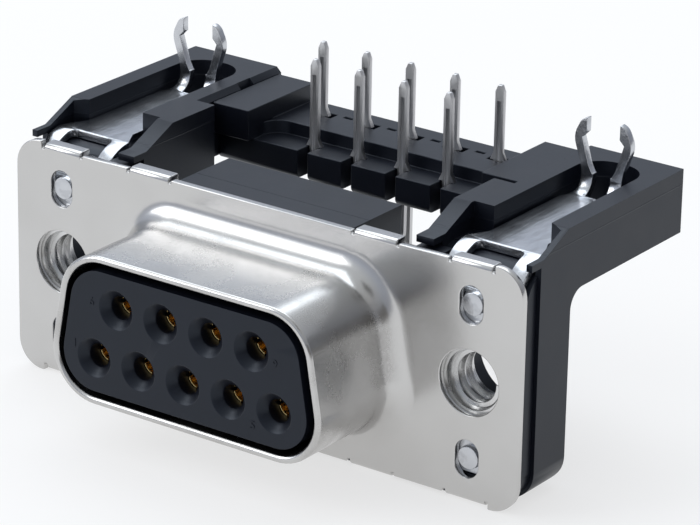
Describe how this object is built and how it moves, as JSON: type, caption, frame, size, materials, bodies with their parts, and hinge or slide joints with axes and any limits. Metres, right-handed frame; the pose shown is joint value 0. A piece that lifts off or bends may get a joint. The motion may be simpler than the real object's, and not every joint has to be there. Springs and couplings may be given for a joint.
{
  "type": "right-angle d-sub socket connector",
  "caption": "Right-angle D-sub socket for a circuit board: nickel flange with a D-shaped collar, black housing, board-lock straps, threaded bushes and bent solder tails.",
  "frame": {"origin": "middle of the flange's front face, halfway between the two screw holes", "axes": "+X along the flange, +Y from the mating side to the back, +Z the way the solder tails point"},
  "size_m": [0.0308, 0.0205, 0.0163],
  "materials": {
    "nickel_steel": "nickel plated",
    "black_plastic": "satin",
    "tinned_sheet": "bright tin",
    "plated_bush": "nickel plated",
    "plated_contact": "gold sockets, tinned tails"
  },
  "bodies": {
    "root": {"front_shell": "nickel_steel", "front_insulator": "black_plastic", "contact_retainer": "black_plastic", "bracket": "black_plastic", "tail_spacer": "black_plastic", "strap_left": "tinned_sheet", "strap_right": "tinned_sheet", "bush_left": "plated_bush", "bush_right": "plated_bush", "contact_1": "plated_contact", "contact_2": "plated_contact", "contact_3": "plated_contact", "contact_4": "plated_contact", "contact_5": "plated_contact", "contact_6": "plated_contact", "contact_7": "plated_contact", "contact_8": "plated_contact", "contact_9": "plated_contact"}
  },
  "joints": []
}
